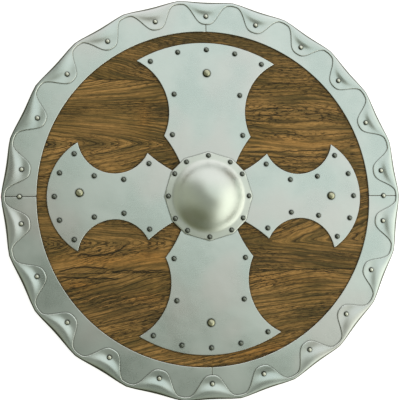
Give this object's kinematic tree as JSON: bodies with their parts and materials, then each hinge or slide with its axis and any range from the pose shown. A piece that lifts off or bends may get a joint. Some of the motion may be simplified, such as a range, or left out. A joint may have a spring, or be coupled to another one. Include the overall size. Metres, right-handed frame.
{
  "type": "wooden round shield",
  "caption": "Round wooden shield with a wavy steel rim, a steel cross, a domed boss over a hand hole and a wooden grip, lying face up.",
  "frame": {"origin": "on the ground under the middle of the shield, which lies on its back", "axes": "+Z out of the face along the boss, +X to the right along the boards' grain, +Y up the face"},
  "size_m": [0.6162, 0.61, 0.0465],
  "materials": {
    "oak": "dark stained and oiled oak, open grain, satin",
    "grip_wood": "plain oiled hardwood",
    "steel": "satin hand-polished sheet",
    "rim_rivet_steel": "bright domed heads",
    "dark_rivet_steel": "dark gunmetal domed heads",
    "brass": "dull pale domed heads"
  },
  "bodies": {
    "root": {"board_1": "oak", "board_2": "oak", "board_3": "oak", "board_4": "oak", "grip": "grip_wood", "rim_plate_upper_right": "steel", "rim_plate_upper_left": "steel", "rim_plate_lower_left": "steel", "rim_plate_lower_right": "steel", "rim_band": "steel", "cross_plate_top": "steel", "cross_plate_left": "steel", "cross_plate_bottom": "steel", "cross_plate_right": "steel", "boss": "steel", "rim_rivet_01": "rim_rivet_steel", "rim_rivet_02": "rim_rivet_steel", "rim_rivet_03": "rim_rivet_steel", "rim_rivet_04": "rim_rivet_steel", "rim_rivet_05": "rim_rivet_steel", "rim_rivet_06": "rim_rivet_steel", "rim_rivet_07": "rim_rivet_steel", "rim_rivet_08": "rim_rivet_steel", "rim_rivet_09": "rim_rivet_steel", "rim_rivet_10": "rim_rivet_steel", "rim_rivet_11": "rim_rivet_steel", "rim_rivet_12": "rim_rivet_steel", "rim_rivet_13": "rim_rivet_steel", "rim_rivet_14": "rim_rivet_steel", "rim_rivet_15": "rim_rivet_steel", "rim_rivet_16": "rim_rivet_steel", "rim_rivet_17": "rim_rivet_steel", "rim_rivet_18": "rim_rivet_steel", "rim_rivet_19": "rim_rivet_steel", "rim_rivet_20": "rim_rivet_steel", "rim_rivet_21": "rim_rivet_steel", "rim_rivet_22": "rim_rivet_steel", "seam_rivet_01": "rim_rivet_steel", "seam_rivet_02": "rim_rivet_steel", "boss_rivet_01": "dark_rivet_steel", "boss_rivet_02": "dark_rivet_steel", "boss_rivet_03": "dark_rivet_steel", "boss_rivet_04": "dark_rivet_steel", "boss_rivet_05": "dark_rivet_steel", "boss_rivet_06": "dark_rivet_steel", "boss_rivet_07": "dark_rivet_steel", "boss_rivet_08": "dark_rivet_steel", "boss_rivet_09": "dark_rivet_steel", "boss_rivet_10": "dark_rivet_steel", "boss_rivet_11": "dark_rivet_steel", "boss_rivet_12": "dark_rivet_steel", "large_rivet_01": "brass", "large_rivet_02": "brass", "large_rivet_03": "brass", "large_rivet_04": "brass"}
  },
  "joints": []
}
